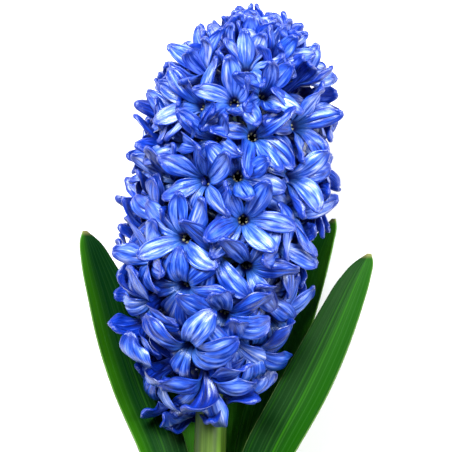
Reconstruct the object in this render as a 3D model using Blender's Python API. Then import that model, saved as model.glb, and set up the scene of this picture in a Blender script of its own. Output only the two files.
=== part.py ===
"""A cut hyacinth lying on its back: a dense head of recurved florets, its stem and five strap leaves.

Metres, +Z up, the floor at z = 0. The plant is drawn upright in its own frame (right, up, front) along a
gently bent axis, and then laid down: up turns to +Y and front to +Z, with the axis rising towards the tip.
It rests on a leaf at its lower end and on the florets at the back of its head.
"""

import bmesh
import bpy
import numpy as np
from mathutils import Vector
from mathutils.bvhtree import BVHTree
from mathutils.geometry import interpolate_bezier

MM = 0.001
SHARP_ANGLE = np.radians(50.0)

# How the plant lies
TILT = np.radians(10.5)
CUT_HEIGHT = 10.42 * MM
PLACE = (0.15 * MM, -116.5 * MM)
UPWARD = Vector((0.0, np.sin(TILT), np.cos(TILT)))

# The plant's axis: (right, up) points of one smooth bend in mm, from the cut to the tip
AXIS_BEND = ((-5.5, 0.0), (-9.0, 80.0), (-3.0, 150.0), (12.8, 236.0))
AXIS_STEPS = 241

# The stem: (up, radius) in mm. Its upper end stands in a socket in the head
STEM_SIDES = 16
STEM_RADII = ((0.0, 6.4), (40.0, 6.2), (95.0, 5.6), (121.0, 5.0))
SOCKET_TOP = 121.6
SOCKET_GAP = 0.55
SOCKET_CLEAR = 7.6
SOCKET_REACH = 8.0

# The core of the head: (up, radius) in mm, with its tip above the last ring
CORE_SIDES = 12
CORE_RADII = ((97.0, 9.5), (106.0, 12.0), (122.0, 14.5), (170.0, 14.5),
              (196.0, 12.0), (212.0, 8.0), (219.0, 3.5))
CORE_TOP = 221.0

# The florets: their throats lie on a turned surface, (up, radius) in mm, spread by the golden angle
FLORETS = 66
SEED = 11
FIRST_TURN = np.radians(100.0)
GOLDEN_ANGLE = np.pi * (3.0 - np.sqrt(5.0))
THROATS = ((89.0, 17.0), (96.0, 24.0), (110.0, 28.5), (135.0, 30.0), (165.0, 31.0), (185.0, 29.0),
           (203.0, 24.5), (216.0, 17.0), (223.0, 8.0), (225.0, 1.0))
LEAN_SHARE = 0.9
STAND_SPREAD = 0.08
ROOT_DEPTH = 4.0
ROOT_NEAREST = 2.0
LONGEST_TUBE = 19.0 * MM
STEEPEST_LEAN = 0.45

# A floret: the mouth of its tube, the pit of its throat, and its petals
MOUTH_RADIUS = 3.5 * MM
NOTCH_SHARE = 0.72
THROAT_DEPTH = 5.0 * MM
PETALS = 6
PETAL_LENGTH = 18.0 * MM
PETAL_WIDTH = 8.2 * MM
PETAL_KEEL = 0.65 * MM
PETAL_HOLLOW = 0.45 * MM
PETAL_SEAT = 0.85
PETAL_STEPS = 24
SHARE_OF_ROUND = 0.44

# How the florets change from the lowest, 0, to the topmost, 1: how far they hang (radians), the angle of
# their petals at the throat and at the tip (degrees), and the length of their petals
DROOP = ((0.0, -0.55), (0.12, -0.3), (0.3, 0.0), (1.0, 0.0))
PETAL_START = ((0.0, 42.0), (0.5, 36.0), (0.85, 26.0), (1.0, 8.0))
PETAL_END = ((0.0, 225.0), (0.12, 190.0), (0.3, 140.0), (0.6, 115.0), (0.85, 85.0), (1.0, 45.0))
PETAL_SHARE = ((0.0, 1.08), (0.7, 1.0), (1.0, 0.72))
ROLLED_BELOW = 0.3
ROLLED_STOPS = (8, 16)
OPEN_STOPS = (15,)

# How florets give way to the floor and to the leaves
FLOOR_GAP = 0.15 * MM
LEAF_GAP = 0.5
DRAW_STEP = 0.96

# The leaves: (up, right, front, width, facing in degrees, radius of the channel), in mm, where a leaf facing
# 90 degrees turns its hollow side to the front and one facing 0 turns it to the right
LEAF_ROWS = 15
LEAF_THICK = 1.8
LEAF_EDGE = 0.7
LEAF_ACROSS = (-1.0, -0.5, 0.0, 0.5, 1.0)
LEAF_SIDES = 2 * len(LEAF_ACROSS)
NARROW_LEAF = 8.0
TIP_CROWDING = 1.5
LEAVES = {
    "leaf_left": ((0.0, -13.2, 0.0, 11.5, 0.0, 7.7), (30.0, -15.6, -2.5, 15.0, 30.0, 10.0),
                  (50.0, -19.0, -5.2, 18.0, 50.0, 15.0), (70.0, -24.6, -8.0, 20.5, 63.0, 20.0),
                  (91.0, -33.2, -10.5, 22.0, 62.0, 26.0), (109.0, -39.6, -13.0, 21.5, 60.0, 28.0),
                  (126.0, -44.3, -13.5, 19.0, 60.0, 28.0), (140.0, -49.0, -12.5, 13.5, 60.0, 20.0),
                  (148.0, -51.8, -11.5, 7.5, 60.0, 12.0), (151.5, -53.2, -11.0, 1.5, 60.0, 8.0)),
    "leaf_right_front": ((0.0, 2.1, 1.3, 11.5, 190.0, 7.7), (30.0, 2.7, 1.4, 13.5, 178.0, 10.0),
                         (50.0, 9.0, 1.2, 18.0, 145.0, 15.0), (70.0, 16.8, 1.0, 22.0, 118.0, 22.0),
                         (92.0, 28.4, 1.0, 22.0, 113.0, 28.0), (113.0, 38.6, 0.5, 18.5, 112.0, 28.0),
                         (124.0, 43.6, -0.5, 15.8, 112.0, 24.0), (134.0, 48.2, -1.5, 12.0, 112.0, 18.0),
                         (140.0, 51.4, -2.2, 7.0, 112.0, 12.0), (143.0, 53.2, -2.6, 1.5, 112.0, 8.0)),
    "leaf_right_back": ((0.0, 4.0, -2.6, 12.2, 165.0, 9.8), (30.0, 5.8, -5.2, 13.6, 151.0, 13.0),
                        (50.0, 8.2, -9.6, 16.0, 132.0, 16.0), (70.0, 11.4, -12.6, 17.0, 124.0, 20.0),
                        (92.0, 17.8, -16.6, 18.5, 125.0, 26.0), (110.0, 24.2, -20.6, 19.0, 128.0, 30.0),
                        (124.0, 29.0, -22.6, 18.5, 130.0, 30.0), (136.0, 32.8, -21.0, 16.5, 130.0, 26.0),
                        (147.0, 37.0, -17.4, 11.0, 130.0, 18.0), (153.0, 39.6, -14.8, 6.0, 130.0, 12.0),
                        (156.0, 40.8, -13.4, 1.5, 130.0, 8.0)),
    "leaf_back_left": ((0.0, -14.9, -2.7, 12.0, 16.0, 9.8), (30.0, -16.5, -8.8, 14.0, 45.0, 14.0),
                       (50.0, -18.5, -14.2, 15.5, 58.0, 18.0), (70.0, -20.0, -19.2, 16.0, 66.0, 24.0),
                       (92.0, -22.4, -23.6, 16.5, 68.0, 28.0), (110.0, -25.6, -26.4, 14.5, 62.0, 28.0),
                       (124.0, -28.4, -27.8, 10.0, 56.0, 22.0), (132.0, -29.8, -28.2, 6.0, 56.0, 14.0),
                       (137.0, -30.6, -28.4, 1.5, 56.0, 8.0)),
    "leaf_back_right": ((0.0, -5.8, -9.8, 11.6, 88.0, 9.8), (30.0, -3.0, -14.6, 12.6, 97.0, 14.0),
                        (60.0, 0.0, -21.3, 14.0, 97.0, 22.0), (75.0, 0.8, -24.1, 14.0, 93.0, 28.0),
                        (92.0, 2.4, -27.1, 12.0, 94.0, 30.0), (102.0, 5.2, -28.9, 7.5, 98.0, 20.0),
                        (109.0, 8.4, -30.0, 1.5, 100.0, 8.0)),
}

# Colours and finishes
LEAF_COLOURS = {
    "leaf_left": (0.03, 0.13, 0.015),
    "leaf_right_front": (0.04, 0.15, 0.015),
    "leaf_right_back": (0.07, 0.20, 0.015),
    "leaf_back_left": (0.02, 0.08, 0.02),
    "leaf_back_right": (0.02, 0.08, 0.02),
}
LEAF_ROUGHNESS = 0.35
STEM_COLOUR = (0.13, 0.22, 0.02)
STEM_ROUGHNESS = 0.5
PETAL_COLOUR = (0.045, 0.12, 0.62)
PETAL_ROUGHNESS = 0.45


def smooth(points, at):
    """A smooth curve through (x, y) points, read at one place."""
    x, y = np.array(points, float).T
    slope = np.gradient(y, x)
    i = int(np.clip(np.searchsorted(x, at) - 1, 0, len(x) - 2))
    step = x[i + 1] - x[i]
    t = np.clip((at - x[i]) / step, 0.0, 1.0)
    return ((2 * t**3 - 3 * t**2 + 1) * y[i] + (t**3 - 2 * t**2 + t) * step * slope[i]
            + (3 * t**2 - 2 * t**3) * y[i + 1] + (t**3 - t**2) * step * slope[i + 1])


def read(table, at):
    """A value between the straight lines of an (x, y) table."""
    x, y = zip(*table)
    return np.interp(at, x, y)


def axis_table():
    """The bend of the plant's axis as heights and places to the right, in mm."""
    a, b, c, d = (Vector((x, y, 0.0)) for x, y in AXIS_BEND)
    curve = interpolate_bezier(a, b, c, d, AXIS_STEPS)
    return np.array([p.y for p in curve]), np.array([p.x for p in curve])


AXIS_UP, AXIS_RIGHT = axis_table()


def axis_point(up):
    """The middle of the plant at a height in mm, in the plant's frame and in metres."""
    return Vector((np.interp(up, AXIS_UP, AXIS_RIGHT), up, 0.0)) * MM


def laid(point):
    """A point of the upright plant where it lies on the floor."""
    right, up, front = point
    y = up * np.cos(TILT) - front * np.sin(TILT)
    return Vector((right + PLACE[0], y + PLACE[1], point.dot(UPWARD) + CUT_HEIGHT))


def around(turn):
    """The direction at an angle round the axis: 0 is right, a quarter turn is to the front."""
    return Vector((np.cos(turn), 0.0, np.sin(turn)))


def drawn_in(points, faces, guard):
    """A floret's points, drawn in towards its root until they clear the floor and the green parts."""
    root = points[0]
    room = root.dot(UPWARD) + CUT_HEIGHT - FLOOR_GAP
    depth = max((root - p).dot(UPWARD) for p in points)
    share = min(1.0, room / max(depth, room))
    points = [root + (p - root) * share for p in points]
    while guard.overlap(BVHTree.FromPolygons(points, faces)):
        points = [root + (p - root) * DRAW_STEP for p in points]
    return points


def finish(name, colour, roughness):
    material = bpy.data.materials.new(name)
    material.use_nodes = True
    shader = material.node_tree.nodes["Principled BSDF"]
    shader.inputs["Base Color"].default_value = (*colour, 1.0)
    shader.inputs["Roughness"].default_value = roughness
    shader.inputs["Metallic"].default_value = 0.0
    return material


def solid(name, vertices, faces, material):
    """A named object of a closed mesh with its faces pointing out."""
    mesh = bpy.data.meshes.new(name)
    bm = bmesh.new()
    placed = [bm.verts.new(v) for v in vertices]
    for face in faces:
        bm.faces.new([placed[i] for i in face])
    bmesh.ops.triangulate(bm, faces=bm.faces)
    bmesh.ops.recalc_face_normals(bm, faces=bm.faces)
    if bm.calc_volume(signed=True) < 0:
        bmesh.ops.reverse_faces(bm, faces=bm.faces)
    bm.to_mesh(mesh)
    bm.free()
    mesh.materials.append(material)
    mesh.shade_smooth()
    mesh.set_sharp_from_angle(angle=SHARP_ANGLE)
    made = bpy.data.objects.new(name, mesh)
    bpy.context.scene.collection.objects.link(made)
    return made


def ring_faces(sides, rings):
    """The quads between rings of equal count that follow each other."""
    quads = []
    for lower in range(0, (rings - 1) * sides, sides):
        upper = lower + sides
        for i in range(sides):
            j = (i + 1) % sides
            quads.append((lower + i, lower + j, upper + j, upper + i))
    return quads


def ringed(stations, sides):
    """Rings round the plant's axis at (up, radius) stations."""
    return [axis_point(up) + around(2 * np.pi * i / sides) * radius * MM
            for up, radius in stations for i in range(sides)]


def make_stem(material):
    vertices = [laid(p) for p in ringed(STEM_RADII, STEM_SIDES)]
    last = len(vertices) - STEM_SIDES
    faces = ring_faces(STEM_SIDES, len(STEM_RADII))
    faces += [tuple(range(STEM_SIDES)), tuple(range(last, last + STEM_SIDES))]
    return solid("stem", vertices, faces, material)


def leaf_section(stations, up, spare=0.0):
    """One row round a leaf: along its outer side and back along its hollow side."""
    right, front, width, facing, channel = (
        smooth([(s[0], s[column]) for s in stations], up) for column in (1, 2, 3, 4, 5))
    inward = around(np.radians(facing))
    across = Vector((inward.z, 0.0, -inward.x))
    middle = Vector((right, up, front))
    outer, inner = [], []
    for place in LEAF_ACROSS:
        bow = place * (width / 2 + spare) / channel
        skin = middle + across * np.sin(bow) * channel + inward * (1 - np.cos(bow)) * channel
        swell = (1 - abs(place) ** 1.5) * min(1.0, width / NARROW_LEAF)
        thick = LEAF_EDGE + (LEAF_THICK - LEAF_EDGE) * swell
        normal = inward * np.cos(bow) - across * np.sin(bow)
        outer.append((skin - normal * (thick / 2 + spare)) * MM)
        inner.append((skin + normal * (thick / 2 + spare)) * MM)
    return outer + inner[::-1]


def leaf_heights(stations):
    """Rows close together towards the tip, where the outline turns in."""
    share = np.linspace(0.0, 1.0, LEAF_ROWS)
    return stations[0][0] + (stations[-1][0] - stations[0][0]) * (1 - (1 - share) ** TIP_CROWDING)


def leaf_faces():
    last = (LEAF_ROWS - 1) * LEAF_SIDES
    ends = [tuple(range(LEAF_SIDES)), tuple(range(last, last + LEAF_SIDES))]
    return ring_faces(LEAF_SIDES, LEAF_ROWS) + ends


def make_leaf(name, material):
    vertices = [laid(p) for up in leaf_heights(LEAVES[name]) for p in leaf_section(LEAVES[name], up)]
    for vertex in vertices:
        vertex.z = max(vertex.z, 0.0)
    return solid(name, vertices, leaf_faces(), material)


def green_guard():
    """The leaves and the bare stem, each a little stouter, as one surface for florets to keep clear of."""
    bare = [(up, radius + LEAF_GAP) for up, radius in STEM_RADII[:-1]]
    vertices = ringed(bare, STEM_SIDES)
    faces = ring_faces(STEM_SIDES, len(bare))
    for stations in LEAVES.values():
        faces += [tuple(i + len(vertices) for i in face) for face in leaf_faces()]
        vertices += [p for up in leaf_heights(stations) for p in leaf_section(stations, up, LEAF_GAP)]
    return BVHTree.FromPolygons(vertices, faces)


def make_core(material):
    """The middle of the head, with the stem's socket in its lower end."""
    socket = [(up, smooth(STEM_RADII, up) + SOCKET_GAP) for up in (SOCKET_TOP, CORE_RADII[0][0])]
    stations = socket + list(CORE_RADII)
    vertices = [laid(p) for p in ringed(stations, CORE_SIDES) + [axis_point(CORE_TOP)]]
    top = len(vertices) - 1
    last = top - CORE_SIDES
    faces = ring_faces(CORE_SIDES, len(stations)) + [tuple(range(CORE_SIDES))]
    faces += [(last + i, last + (i + 1) % CORE_SIDES, top) for i in range(CORE_SIDES)]
    return solid("flower_head", vertices, faces, material)


def throat_places():
    """Equal shares of the turned throat surface, one for each floret, as (up, radius, slope)."""
    up = np.linspace(THROATS[0][0], THROATS[-1][0], 400)
    radius = np.array([smooth(THROATS, u) for u in up])
    band = np.hypot(np.diff(up), np.diff(radius)) * (radius[1:] + radius[:-1]) / 2
    share = np.concatenate([[0.0], np.cumsum(band)]) / band.sum()
    places = np.interp((np.arange(FLORETS) + 0.5) / FLORETS, share, up)
    slopes = np.interp(places, up, np.arctan2(-np.gradient(radius), np.gradient(up)))
    return [(p, smooth(THROATS, p), s) for p, s in zip(places, slopes)]


def petal_line(length, start, end):
    """How a petal bends away from its floret's axis: (out, along, angle) at even steps."""
    out, along, line = PETAL_SEAT * MOUTH_RADIUS, 0.0, []
    step = length / PETAL_STEPS
    for i in range(PETAL_STEPS + 1):
        angle = start + (end - start) * (i / PETAL_STEPS) ** 1.15
        line.append((out, along, angle))
        out += np.sin(angle) * step
        along += np.cos(angle) * step
    return line


def stand(number, place, rise, draw):
    """How a floret stands: its root, its throat, and the directions it faces, across and beside."""
    up, radius, slope = place
    turn = FIRST_TURN + number * GOLDEN_ANGLE
    lean = slope * LEAN_SHARE + read(DROOP, rise) + draw.normal(0.0, STAND_SPREAD)
    side = turn + draw.normal(0.0, STAND_SPREAD)
    face = around(side) * np.cos(lean) + Vector((0.0, np.sin(lean), 0.0))
    throat = axis_point(up) + around(turn) * radius * MM
    sunk = smooth(CORE_RADII, np.clip(up, CORE_RADII[0][0], CORE_RADII[-1][0])) - ROOT_DEPTH
    nearest = SOCKET_CLEAR if up < SOCKET_TOP + SOCKET_REACH else ROOT_NEAREST
    reach = (radius - max(sunk, nearest)) * MM / max(np.cos(lean), STEEPEST_LEAN)
    root = throat - face * min(reach, LONGEST_TUBE)
    across = face.cross(Vector((0.0, 1.0, 0.2))).normalized()
    return root, throat, face, across, face.cross(across)


def tube(pose, roll):
    """A floret's tube, tapering to its root, round the pit of its throat. Its mouth has a point and a notch
    for each petal."""
    root, throat, face, across, beside = pose
    vertices = [root, throat - face * THROAT_DEPTH]
    faces = []
    for k in range(PETALS):
        for turned_by, share in ((0.0, NOTCH_SHARE), (0.5, 1.0)):
            way = roll + (k + turned_by) * 2 * np.pi / PETALS
            spoke = across * np.cos(way) + beside * np.sin(way)
            vertices.append(throat + spoke * MOUTH_RADIUS * share)
        left, hollow, right = mouth(k)
        faces += [(0, left, right), (1, hollow, left), (1, right, hollow)]
    return vertices, faces


def mouth(k):
    """The three places on a tube's mouth that a petal grows from: left, hollow and right."""
    return 3 + 2 * ((k - 1) % PETALS), 2 + 2 * k, 3 + 2 * k


def add_petal(vertices, faces, k, pose, spoke, line, stops):
    """One keeled petal from its seat on the mouth, by three-sided stations, to its tip."""
    throat, face = pose[1:3]
    sideways = face.cross(spoke)
    first = len(vertices)
    for stop in stops:
        out, along, angle = line[stop]
        middle = throat + spoke * out + face * along
        inner = face * np.sin(angle) - spoke * np.cos(angle)
        half = PETAL_WIDTH / 2 * np.sin(np.pi * (0.13 + 0.75 * stop / PETAL_STEPS)) ** 0.7
        half = min(half, out * SHARE_OF_ROUND)
        vertices += [middle - sideways * half + inner * PETAL_HOLLOW,
                     middle + sideways * half + inner * PETAL_HOLLOW,
                     middle - inner * PETAL_KEEL]
    out, along, _ = line[-1]
    tip = len(vertices)
    vertices.append(throat + spoke * out + face * along)
    left, hollow, right = mouth(k)
    a, b, c = first, first + 1, first + 2
    faces += [(left, hollow, a), (hollow, b, a), (hollow, right, b)]
    faces += [(left, a, c), (right, c, b), (left, c, right)]
    for _ in stops[1:]:
        faces += [(a, b, b + 3, a + 3), (b, c, c + 3, b + 3), (c, a, a + 3, c + 3)]
        a, b, c = a + 3, b + 3, c + 3
    faces += [(a, b, tip), (b, c, tip), (c, a, tip)]


def make_floret(number, place, draw, guard, material):
    """A tapering tube with a pit for its throat, and six keeled petals that bend back."""
    rise = (place[0] - THROATS[0][0]) / (THROATS[-1][0] - THROATS[0][0])
    pose = stand(number, place, rise, draw)
    across, beside = pose[3:]
    roll = draw.uniform(0.0, 2 * np.pi)
    start = np.radians(read(PETAL_START, rise))
    end = np.radians(read(PETAL_END, rise) + draw.normal(0.0, 10.0))
    length = PETAL_LENGTH * read(PETAL_SHARE, rise)
    stops = ROLLED_STOPS if rise <= ROLLED_BELOW else OPEN_STOPS
    vertices, faces = tube(pose, roll)
    for k in range(PETALS):
        way = roll + k * 2 * np.pi / PETALS + draw.normal(0.0, 0.03)
        spoke = across * np.cos(way) + beside * np.sin(way)
        line = petal_line(length * draw.uniform(0.93, 1.05), start, end + draw.normal(0.0, 0.12))
        add_petal(vertices, faces, k, pose, spoke, line, stops)
    vertices = drawn_in(vertices, faces, guard)
    return solid(f"floret_{number}", [laid(v) for v in vertices], faces, material)


def join(body, pieces):
    """One Boolean union of a body and the pieces that grow from it."""
    group = bpy.data.collections.new("pieces")
    for piece in pieces:
        bpy.context.scene.collection.objects.unlink(piece)
        group.objects.link(piece)
    union = body.modifiers.new("union", "BOOLEAN")
    union.operation = "UNION"
    union.operand_type = "COLLECTION"
    union.collection = group
    union.solver = "EXACT"
    graph = bpy.context.evaluated_depsgraph_get()
    joined = bpy.data.meshes.new_from_object(body.evaluated_get(graph))
    body.modifiers.remove(union)
    body.data = joined
    for piece in pieces:
        bpy.data.objects.remove(piece)
    bpy.data.collections.remove(group)


def skins_of(bm):
    """The faces of a mesh in groups that hang together by their edges."""
    unseen, skins = set(bm.faces), []
    while unseen:
        skin, edge = [], [unseen.pop()]
        while edge:
            face = edge.pop()
            skin.append(face)
            for other in (f for e in face.edges for f in e.link_faces):
                if other in unseen:
                    unseen.remove(other)
                    edge.append(other)
        skins.append(skin)
    return sorted(skins, key=len)


def keep_outer_skin(body):
    """Fills the small hollows that the union sealed, by dropping every skin but the largest."""
    bm = bmesh.new()
    bm.from_mesh(body.data)
    bm.faces.index_update()
    spare = [face for skin in skins_of(bm)[:-1] for face in skin]
    bmesh.ops.delete(bm, geom=sorted(spare, key=lambda f: f.index), context="FACES")
    bm.to_mesh(body.data)
    bm.free()


def make_head(material):
    draw = np.random.default_rng(SEED)
    guard = green_guard()
    core = make_core(material)
    florets = [make_floret(i, place, draw, guard, material) for i, place in enumerate(throat_places())]
    join(core, florets)
    keep_outer_skin(core)


def main():
    for old in list(bpy.data.objects):
        bpy.data.objects.remove(old)
    for name in LEAVES:
        make_leaf(name, finish(name, LEAF_COLOURS[name], LEAF_ROUGHNESS))
    make_stem(finish("stem", STEM_COLOUR, STEM_ROUGHNESS))
    make_head(finish("flower_head", PETAL_COLOUR, PETAL_ROUGHNESS))


main()
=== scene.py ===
"""The looks of a cut hyacinth that lies on its back: its florets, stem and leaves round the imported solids.

Everything is drawn in the plant's own frame, (right, up, front) in mm, where the plant stands upright, and
then laid down on the floor in metres, as the solids are.
"""

from dataclasses import dataclass, replace

import bpy
import numpy as np
from mathutils import Matrix, Vector
from mathutils.geometry import interpolate_bezier


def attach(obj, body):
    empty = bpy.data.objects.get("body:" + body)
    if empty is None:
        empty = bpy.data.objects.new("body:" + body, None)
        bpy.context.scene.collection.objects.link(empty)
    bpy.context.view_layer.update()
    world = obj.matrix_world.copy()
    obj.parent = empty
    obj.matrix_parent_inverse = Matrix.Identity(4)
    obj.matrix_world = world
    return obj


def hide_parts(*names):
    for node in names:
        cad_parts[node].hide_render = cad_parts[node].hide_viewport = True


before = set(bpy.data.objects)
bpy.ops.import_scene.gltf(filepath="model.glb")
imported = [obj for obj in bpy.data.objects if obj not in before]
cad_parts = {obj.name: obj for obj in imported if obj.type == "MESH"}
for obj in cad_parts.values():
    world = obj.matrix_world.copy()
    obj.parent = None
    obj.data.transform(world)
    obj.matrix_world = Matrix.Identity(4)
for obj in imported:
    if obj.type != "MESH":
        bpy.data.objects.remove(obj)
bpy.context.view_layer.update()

MM = 0.001
DEGREE = np.pi / 180

# How the plant lies, as in the solids
TILT = 10.5 * DEGREE
CUT_HEIGHT = 10.42
PLACE = (0.15, -116.5)
AXIS_BEND = ((-5.5, 0.0), (-9.0, 80.0), (-3.0, 150.0), (12.8, 236.0))
AXIS_STEPS = 241
RIGHT, UP, FRONT = np.eye(3)

# The surface that the throats lie on, (up, radius), how far right of the axis its middle lies, (up, right),
# and how close florets stand on it, (up, share)
THROATS = ((90.0, 6.0), (96.0, 10.5), (108.0, 17.5), (130.0, 23.5), (160.0, 26.0), (180.0, 25.5),
           (200.0, 21.0), (212.0, 14.5), (219.0, 7.5), (222.0, 1.0))
HEAD_SHIFT = ((100.0, -3.5), (116.0, -4.0), (128.0, -3.4), (140.0, -2.2), (155.0, -0.2), (200.0, 0.0))
CLOSENESS = ((90.0, 0.5), (115.0, 0.65), (135.0, 1.0), (190.0, 1.05), (206.0, 1.4), (216.0, 2.1),
             (222.0, 2.4))
HEAD_FOOT, HEAD_TOP = THROATS[0][0], THROATS[-1][0]
BAND_STEPS = 400
FLORETS = 98
SEED = 4
FIRST_TURN = 100 * DEGREE
GOLDEN_ANGLE = np.pi * (3.0 - np.sqrt(5.0))
LEAN_SHARE = 0.9
JITTER = 0.1

# How the florets that aren't placed one by one push each other apart, and how far to a side a placed one may
# be
SPREAD_ROUNDS = 60
SPACING = 16.0
PUSH_SHARE = 0.3
SIDEMOST = 0.97

# The florets seen in front: (right, up) of the throat, how far it looks right and up, the turn of its petals
# in degrees, and how much more than its height asks they curl, in degrees
FRONT_FLORETS = (
    (7.4, 209.4, 0.05, 0.72, 90, 10), (13.0, 199.6, 0.40, 0.30, 20, 0), (3.0, 197.2, -0.08, 0.12, 35, 0),
    (9.3, 185.0, 0.14, 0.16, 36, 0), (4.1, 170.6, 0.02, 0.06, -85, 0), (-7.0, 169.1, -0.48, -0.22, 190, 10),
    (21.5, 170.6, 0.66, 0.0, 0, 0), (5.9, 155.4, 0.06, 0.04, 118, -10), (-14.1, 148.7, -0.36, -0.04, 206, -5),
    (7.0, 138.8, 0.10, -0.34, 4, 15), (23.7, 189.1, 0.76, 0.12, 0, 0), (24.0, 206.1, 0.66, 0.5, 30, 0),
    (-6.4, 208.0, -0.5, 0.6, 0, 0), (-8.1, 196.1, -0.62, 0.16, 40, 0), (-25.3, 125.8, -0.72, -0.45, 10, 20),
    (-1.1, 122.1, -0.1, -0.5, 35, 15), (14.5, 120.5, 0.6, -0.45, 20, 20), (7.8, 108.5, 0.35, -0.6, -30, 15),
    (-12.5, 111.0, -0.4, -0.6, 20, 20), (-21.5, 101.0, -0.82, -0.4, 0, 20),
    (-7.0, 98.5, -0.05, -0.76, -65, 5))

# A floret: its stalk, which leaves the middle of the head below the floret, and its tube
TUBE_LENGTH = 8.0
TUBE_FOOT = 1.8
TUBE_FLARE = 0.3
TUBE_OVERLAP = 1.08
STALK_RADIUS = 0.95
STALK_DROP = 5.0
STALK_ENDS = (95.0, 214.0)
STALK_ROOT = 2.5
STALK_BOW = 0.55
STALK_STEPS = 9
STALK_SIDES = 12
SWELL_RADIUS = 2.9
SWELL_SHARES = (0.93, 1.0, 0.97, 0.9)

# Its anthers
ANTHER_OUT = 1.55
ANTHER_DEEP = 3.0
ANTHER_LENGTH = 2.5
ANTHER_RADIUS = 0.55
ANTHER_RINGS = 7
ANTHER_SIDES = 6

# Its six petals: their sizes, the flutes and the groove along each, the ripple of its edges, the inward bend
# of its tip, and its width from foot to tip
PETALS = 6
PETAL_LENGTH = 18.5
PETAL_WIDTH = 7.7
PETAL_THICK = 1.0
EDGE_THICK = 0.34
TIP_THICK = 1.8
FLUTE = 0.15
GROOVE = 0.3
GROOVE_WIDTH = 0.16
RIPPLE = 0.6
RIPPLE_TURNS = 7.0
HOOD = 0.9
HOOD_FROM = 0.86
STRAP = ((0.0, 0.34), (0.12, 0.5), (0.28, 0.78), (0.48, 0.98), (0.62, 1.0), (0.77, 0.87), (0.88, 0.64),
         (0.95, 0.44), (1.0, 0.24))
LINE_STEPS = 48

# How the florets change from the lowest, 0, to the topmost, 1
DROOP = ((0.0, -0.5), (0.12, -0.4), (0.3, -0.1), (0.45, 0.0), (1.0, 0.0))
PETAL_START = ((0.0, 22.0), (0.15, 38.0), (0.3, 44.0), (0.6, 42.0), (0.8, 34.0), (0.92, 20.0), (1.0, 8.0))
PETAL_END = ((0.0, 160.0), (0.15, 185.0), (0.3, 140.0), (0.6, 114.0), (0.8, 96.0), (0.9, 62.0), (1.0, 34.0))
PETAL_LATE = ((0.0, 2.2), (0.15, 1.2), (1.0, 1.1))
PETAL_SHARE = ((0.0, 1.15), (0.15, 1.12), (0.3, 1.0), (0.65, 0.96), (0.8, 0.88), (0.92, 0.78), (1.0, 0.68))
PETAL_BREADTH = ((0.0, 1.34), (0.2, 1.26), (0.35, 1.02), (0.65, 0.97), (0.85, 0.9), (1.0, 0.84))
PETAL_CUP = ((0.0, -0.25), (0.3, -0.1), (0.6, 0.05), (0.85, 0.25), (1.0, 0.45))
PETAL_TWIST = ((0.0, 0.5), (0.3, 0.28), (1.0, 0.15))

# How petals find room between each other: how often, among which others, how much room a petal wants round it,
# and how much more it minds obstacles, the floor and being bent far. Obstacles are the green parts and the
# points in front of the florets that are seen
TRIALS = 26
ROUNDS = 3
NEAR = 36.0
PETAL_REACH = 19.0
ROOM = 2.4
OBSTACLE_ROOM = 3.0
FLOOR_ROOM = 1.6
OBSTACLE_WEIGHT = 3
FLOOR_WEIGHT = 4
STRAIN_WEIGHT = 1.5

# How far one trial bends a petal: its way, its start and end in degrees, its swing and its twist
TRY_WAY = 0.1
TRY_START = 9.0
TRY_END = 22.0
TRY_SWING = 0.25
TRY_TWIST = 0.25

# How far in front of a floret that is seen petals of others keep clear, and how far it stands out
SIGHT = (2.5, 5.0, 7.5, 10.0, 12.5)
STAND_OUT = 1.2

# Between which places, from the throat surface outwards, the painted shade inside the head fades from navy to
# none
DEEP = (-4.5, 8.0)

# Below which height what lies on the floor is pressed flatter, so that nothing sinks into it
LYING = 2.2


def laid(points):
    """Points of the upright plant where it lies on the floor, in metres."""
    right, up, front = np.moveaxis(np.asarray(points), -1, 0)
    y = up * np.cos(TILT) - front * np.sin(TILT) + PLACE[1]
    z = up * np.sin(TILT) + front * np.cos(TILT) + CUT_HEIGHT
    return np.stack([right + PLACE[0], y, z], -1) * MM


def pressed(points):
    """Laid points, with what would sink into the floor pressed together just above it."""
    points = laid(points)
    height = points[:, 2] / MM
    flat = LYING * np.exp(np.minimum(height - LYING, 0.0) / LYING)
    points[:, 2] = np.where(height < LYING, flat, height) * MM
    return points


def read(table, at):
    """A value between the straight lines of an (x, y) table."""
    x, y = zip(*table)
    return np.interp(at, x, y)


def smooth(points, at):
    """A smooth curve through (x, y) points, read at one or many places."""
    x, y = np.array(points, float).T
    slope = np.gradient(y, x)
    i = np.clip(np.searchsorted(x, at) - 1, 0, len(x) - 2)
    step = x[i + 1] - x[i]
    t = np.clip((at - x[i]) / step, 0.0, 1.0)
    return ((2 * t**3 - 3 * t**2 + 1) * y[i] + (t**3 - 2 * t**2 + t) * step * slope[i]
            + (3 * t**2 - 2 * t**3) * y[i + 1] + (t**3 - t**2) * step * slope[i + 1])


def ease(low, high, at):
    """A soft step from 0 at low to 1 at high."""
    t = np.clip((np.asarray(at, float) - low) / (high - low), 0.0, 1.0)
    return t * t * (3 - 2 * t)


def axis_table():
    """The bend of the plant's axis as heights and places to the right."""
    a, b, c, d = (Vector((x, y, 0.0)) for x, y in AXIS_BEND)
    curve = interpolate_bezier(a, b, c, d, AXIS_STEPS)
    return np.array([p.y for p in curve]), np.array([p.x for p in curve])


AXIS_UP, AXIS_RIGHT = axis_table()


def axis_point(up):
    up = np.asarray(up, float)
    return np.stack([np.interp(up, AXIS_UP, AXIS_RIGHT), up, np.zeros_like(up)], -1)


def head_middle(up):
    """The middle of the head at a height."""
    return axis_point(up) + read(HEAD_SHIFT, up)[..., None] * RIGHT


def around(turn):
    """The direction at an angle round the axis: 0 is right, a quarter turn is to the front."""
    turn = np.asarray(turn, float)
    return np.stack([np.cos(turn), np.zeros_like(turn), np.sin(turn)], -1)


def unit(vector):
    return vector / np.linalg.norm(vector, axis=-1, keepdims=True)


# ---------------------------------------------------------------------------------------------- meshes


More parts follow.
